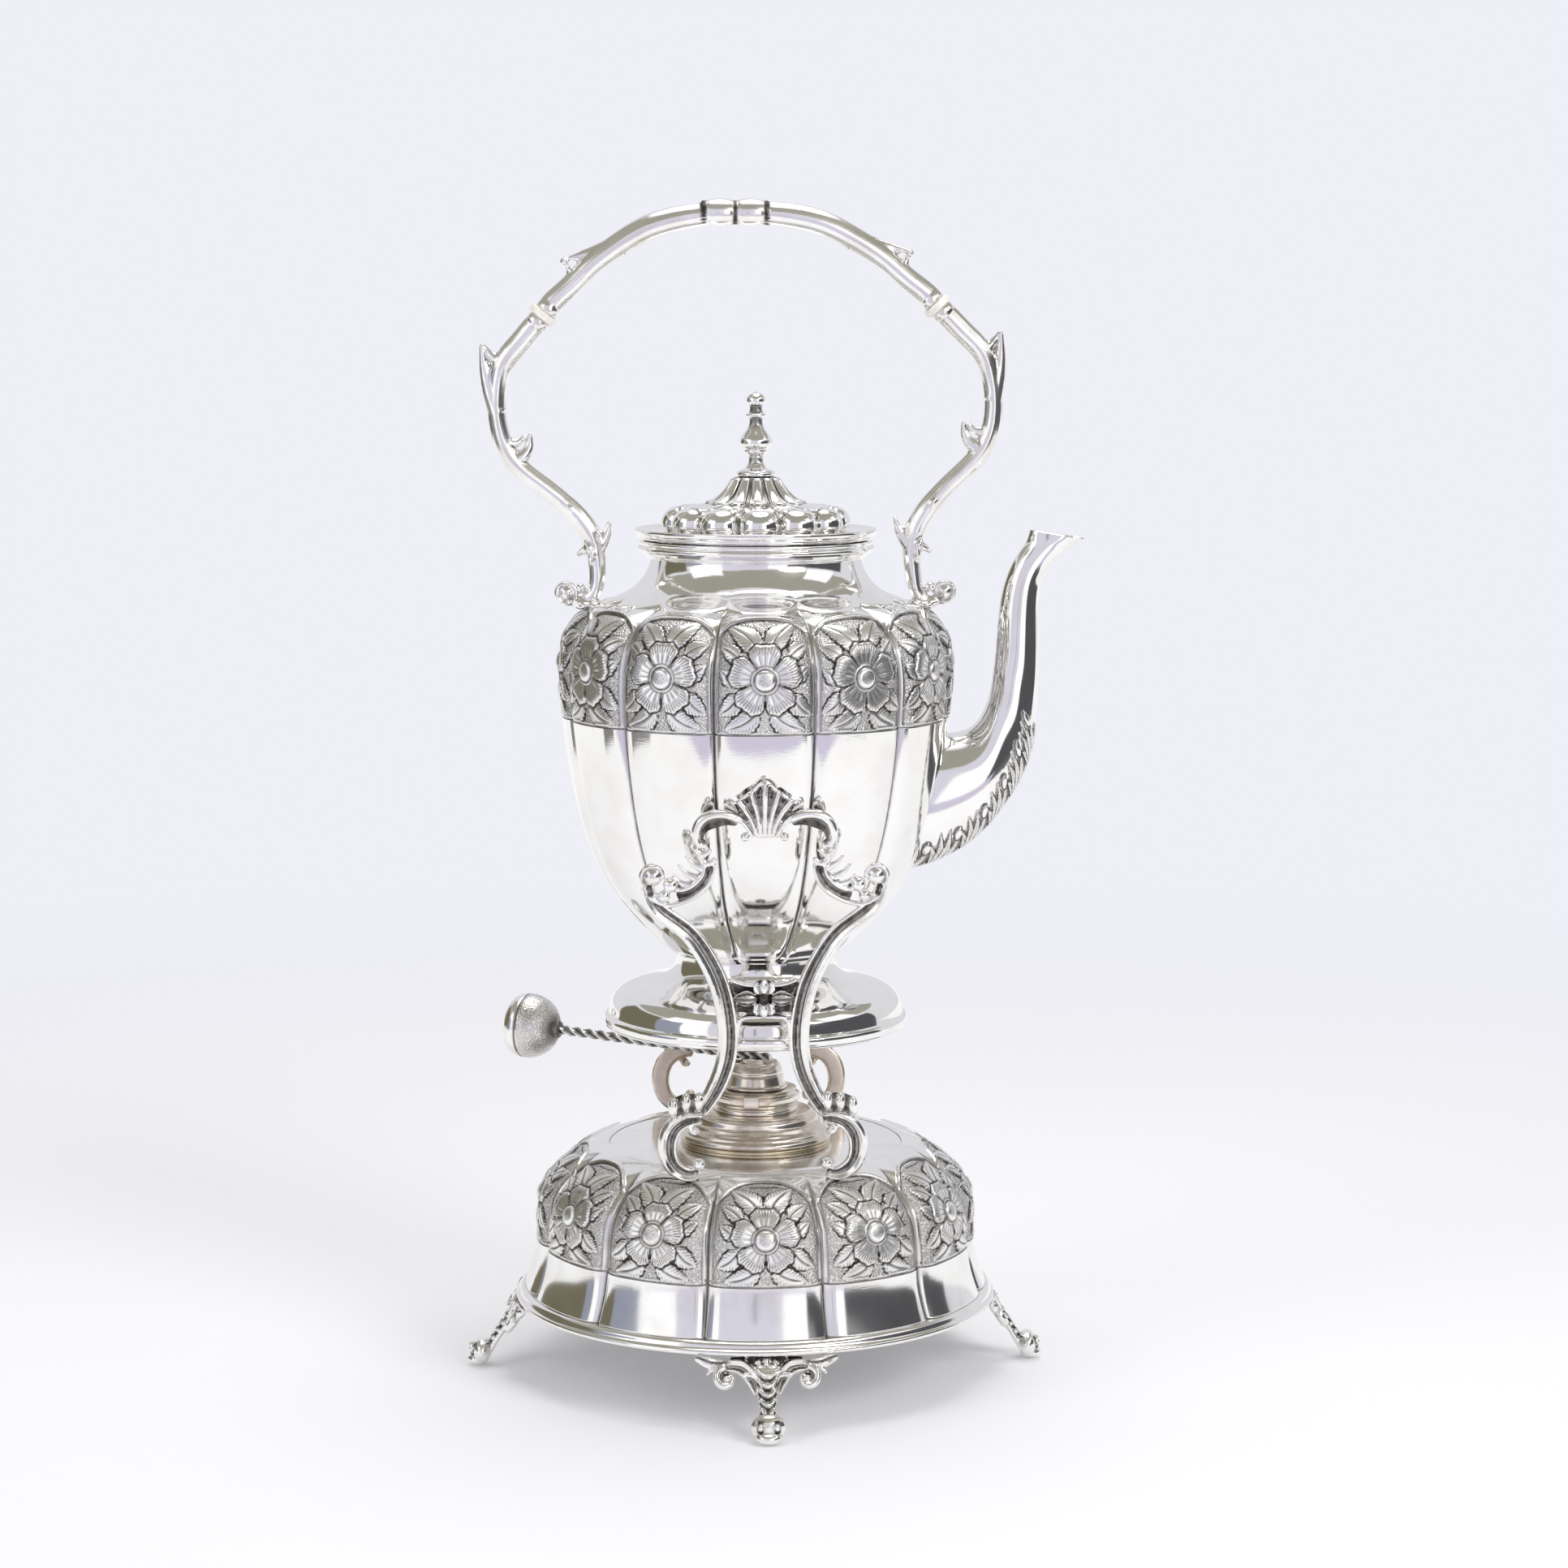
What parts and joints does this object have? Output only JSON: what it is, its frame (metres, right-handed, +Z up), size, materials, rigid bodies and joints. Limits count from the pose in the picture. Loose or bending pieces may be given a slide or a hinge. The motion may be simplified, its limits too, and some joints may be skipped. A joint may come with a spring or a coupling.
{
  "type": "spirit kettle on stand",
  "caption": "Lobed kettle with a bail handle and hinged lid, tilting between scrolled brackets on a domed, footed stand with a spirit lamp.",
  "frame": {"origin": "on the vertical axis of the kettle and the stand, at table level", "axes": "+Z up, +X towards the spout, -Y towards the front"},
  "size_m": [0.2118, 0.2002, 0.3993],
  "materials": {
    "silver_stand": "polished silver plate, dark oxidised recesses",
    "silver_kettle": "polished silver plate, dark oxidised recesses",
    "silver_lid": "polished silver plate",
    "burner_metal": "silver plate with brown tarnish",
    "burner_brass": "dull brass",
    "insulator": "polished ivory-coloured rings",
    "wick": "woven cotton"
  },
  "bodies": {
    "stand": {"base_dome": "silver_stand", "base_rim": "silver_stand", "foot_front": "silver_stand", "foot_rear": "silver_stand", "foot_left": "silver_stand", "foot_right": "silver_stand", "bracket_front": "silver_stand", "bracket_rear": "silver_stand", "rosette_front": "silver_stand", "rosette_rear": "silver_stand", "pivot_pin_front": "silver_stand", "pivot_pin_rear": "silver_stand", "lamp_seat_ring": "burner_brass", "lamp_bowl": "burner_metal", "lamp_collar": "burner_metal", "wick_tube": "burner_brass", "wick": "wick"},
    "regulator": {"regulator_cap": "burner_metal", "regulator_rod": "burner_metal", "regulator_knob": "burner_metal"},
    "kettle": {"kettle_shell": "silver_kettle", "kettle_foot": "silver_kettle", "neck_collar": "silver_kettle", "spout": "silver_kettle", "spout_leaf": "silver_kettle", "pivot_boss_front": "silver_kettle", "pivot_boss_rear": "silver_kettle", "hinge_leaf_kettle": "silver_kettle", "handle_arm_left": "silver_kettle", "handle_arm_right": "silver_kettle", "handle_grip": "silver_kettle", "insulator_dowels": "silver_kettle", "insulator_left": "insulator", "insulator_right": "insulator"},
    "lid": {"lid": "silver_lid", "lid_bezel": "silver_lid", "finial": "silver_lid", "finial_nut": "silver_lid", "hinge_leaf_lid": "silver_lid", "hinge_pin": "silver_lid"}
  },
  "joints": [
    {"name": "kettle_tilt", "type": "hinge", "parent": "stand", "child": "kettle", "pos_m": [0, 0, 0.2], "axis": [0, 1, 0], "range_deg": [0, 25]},
    {"name": "lid_hinge", "type": "hinge", "parent": "kettle", "child": "lid", "pos_m": [0, 0.044, 0.2862], "axis": [-1, 0, 0], "range_deg": [0, 100]},
    {"name": "regulator_turn", "type": "hinge", "parent": "stand", "child": "regulator", "pos_m": [0, 0, 0.0972], "axis": [0, 0, 1], "range_deg": [-25, 60]}
  ]
}
